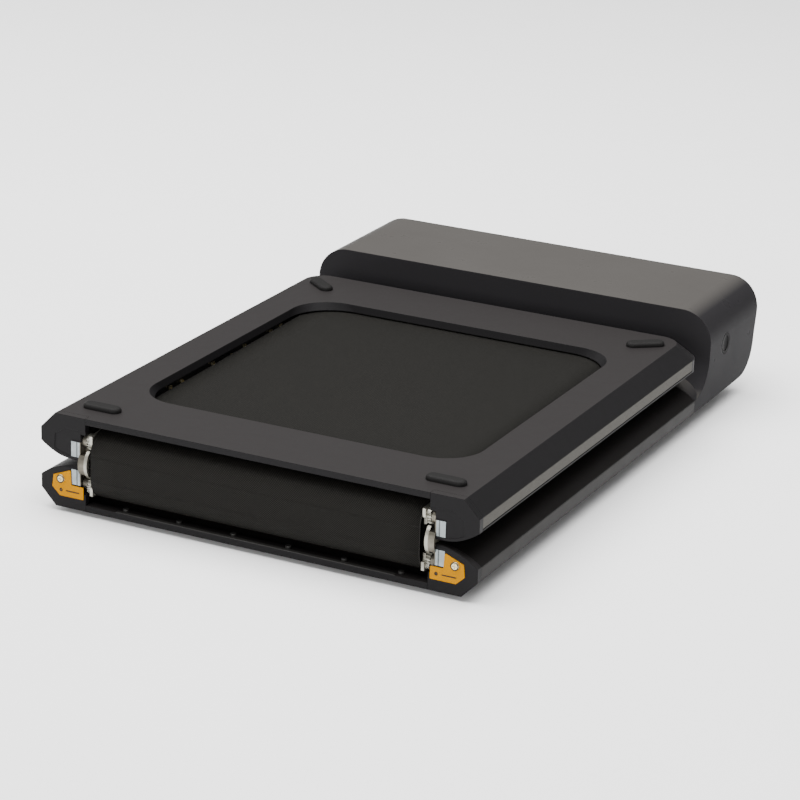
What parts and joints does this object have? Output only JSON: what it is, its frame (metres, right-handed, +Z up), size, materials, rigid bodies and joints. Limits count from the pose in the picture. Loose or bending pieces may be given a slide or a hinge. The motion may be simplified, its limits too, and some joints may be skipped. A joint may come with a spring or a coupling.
{
  "type": "folding treadmill",
  "caption": "Low two-section treadmill that folds on a geared hinge, with a motor housing at one end and a belt seen through the rear cover.",
  "frame": {"origin": "centre of the folded machine's footprint, on the floor under the feet", "axes": "+X across the belt to the button's side, +Y from the hinge end to the motor housing, +Z up; the machine is folded"},
  "size_m": [0.518, 0.787, 0.1325],
  "materials": {
    "cover_plastic": "fine moulded texture",
    "rail_plastic": "satin",
    "dark_trim": "satin",
    "silver_trim": "satin anodised",
    "housing_plastic": "semi-gloss",
    "belt_fabric": "woven, dotted",
    "zinc_steel": "zinc plated",
    "gear_steel": "oiled",
    "caution_yellow": "satin",
    "fastener_steel": "bright",
    "blackened_steel": "blackened",
    "lip_grey": "satin",
    "frame_paint": "powder coat",
    "deck_board": "laminated",
    "rubber_black": "matt",
    "roller_steel": "turned",
    "bearing_steel": "ground",
    "motor_paint": "semi-gloss",
    "pulley_alloy": "machined",
    "circuit_green": "solder mask",
    "sink_alloy": "extruded",
    "button_black": "polished",
    "inlet_black": "satin",
    "switch_black": "polished"
  },
  "bodies": {
    "front_base": {"front_bottom_cover": "cover_plastic", "front_end_caps": "cover_plastic", "front_rails": "rail_plastic", "front_side_trims": "dark_trim", "motor_cover": "housing_plastic", "front_belt": "belt_fabric", "front_hinge_leaves": "zinc_steel", "front_gear_plates": "zinc_steel", "caution_plates": "caution_yellow", "plate_screws": "fastener_steel", "front_deck_bolts": "fastener_steel", "lip_screws": "blackened_steel", "lip_strip": "lip_grey", "front_frame": "frame_paint", "drive_roller_brackets": "frame_paint", "motor_bracket": "frame_paint", "front_deck": "deck_board", "front_feet": "rubber_black", "front_deck_cushions": "rubber_black", "drive_belt": "rubber_black", "drive_roller_axle": "roller_steel", "wheel_axles": "roller_steel", "motor_body": "motor_paint", "control_board": "circuit_green", "display_board": "circuit_green", "heat_sink": "sink_alloy", "button_bezel": "button_black", "power_inlet": "inlet_black"},
    "drive_roller": {"drive_roller": "roller_steel", "drive_bearings": "bearing_steel"},
    "motor_rotor": {"motor_shaft": "roller_steel", "motor_pulley": "pulley_alloy"},
    "right_wheel": {"transport_wheel_right": "rubber_black"},
    "left_wheel": {"transport_wheel_left": "rubber_black"},
    "side_button": {"side_button": "button_black"},
    "power_switch": {"power_switch": "switch_black"},
    "hinge_link": {"link_plates": "zinc_steel", "hinge_pins": "zinc_steel", "belt_wrap": "belt_fabric", "belt_bridge": "belt_fabric"},
    "lower_idlers": {"lower_idler_gears": "gear_steel"},
    "upper_idlers": {"upper_idler_gears": "gear_steel"},
    "rear_roller": {"rear_roller": "roller_steel", "rear_bearings": "bearing_steel"},
    "rear_section": {"rear_bottom_cover": "cover_plastic", "rear_rails": "rail_plastic", "rear_side_trims": "silver_trim", "rear_end_caps": "cover_plastic", "rear_far_cap": "cover_plastic", "rear_frame": "frame_paint", "rear_deck": "deck_board", "rear_deck_cushions": "rubber_black", "rear_deck_bolts": "fastener_steel", "rear_beam_bolts": "fastener_steel", "rear_belt": "belt_fabric", "rear_feet": "rubber_black", "rear_hinge_leaves": "zinc_steel", "rear_gear_plates": "zinc_steel", "rear_roller_axle": "roller_steel", "tension_bolts": "fastener_steel"}
  },
  "joints": [
    {"name": "link_fold", "type": "hinge", "parent": "front_base", "child": "hinge_link", "pos_m": [0, -0.3785, 0.03425], "axis": [1, 0, 0], "range_deg": [0, 90], "deforming": ["belt_wrap"]},
    {"name": "rear_fold", "type": "hinge", "parent": "hinge_link", "child": "rear_section", "pos_m": [0, -0.3785, 0.08225], "axis": [1, 0, 0], "range_deg": [0, 90]},
    {"name": "lower_idler_turn", "type": "hinge", "parent": "hinge_link", "child": "lower_idlers", "pos_m": [0, -0.3785, 0.05025], "axis": [1, 0, 0], "range_deg": [0, 90]},
    {"name": "upper_idler_turn", "type": "hinge", "parent": "hinge_link", "child": "upper_idlers", "pos_m": [0, -0.3785, 0.06625], "axis": [1, 0, 0], "range_deg": [-90, 0]},
    {"name": "drive_roller_spin", "type": "hinge", "parent": "front_base", "child": "drive_roller", "pos_m": [0, 0.2655, 0.031], "axis": [1, 0, 0], "continuous": true},
    {"name": "rear_roller_spin", "type": "hinge", "parent": "rear_section", "child": "rear_roller", "pos_m": [0, 0.1725, 0.0845], "axis": [1, 0, 0], "continuous": true},
    {"name": "motor_spin", "type": "hinge", "parent": "front_base", "child": "motor_rotor", "pos_m": [0, 0.3355, 0.0855], "axis": [1, 0, 0], "continuous": true},
    {"name": "right_wheel_spin", "type": "hinge", "parent": "front_base", "child": "right_wheel", "pos_m": [0.215, 0.3355, 0.0195], "axis": [1, 0, 0], "continuous": true},
    {"name": "left_wheel_spin", "type": "hinge", "parent": "front_base", "child": "left_wheel", "pos_m": [-0.215, 0.3355, 0.0195], "axis": [1, 0, 0], "continuous": true},
    {"name": "side_button_press", "type": "slide", "parent": "front_base", "child": "side_button", "axis": [-1, 0, 0], "range_m": [0, 0.002], "stiffness_N_per_m": 400},
    {"name": "power_switch_rock", "type": "hinge", "parent": "front_base", "child": "power_switch", "pos_m": [-0.15, 0.3735, 0.0855], "axis": [1, 0, 0], "range_deg": [0, 14]}
  ],
  "couplings": [
    {"joint": "rear_fold", "follows": "link_fold", "ratio": 1},
    {"joint": "lower_idler_turn", "follows": "link_fold", "ratio": 1},
    {"joint": "upper_idler_turn", "follows": "link_fold", "ratio": -1},
    {"joint": "rear_roller_spin", "follows": "drive_roller_spin", "ratio": 1.0667},
    {"joint": "motor_spin", "follows": "drive_roller_spin", "ratio": 2.5}
  ]
}
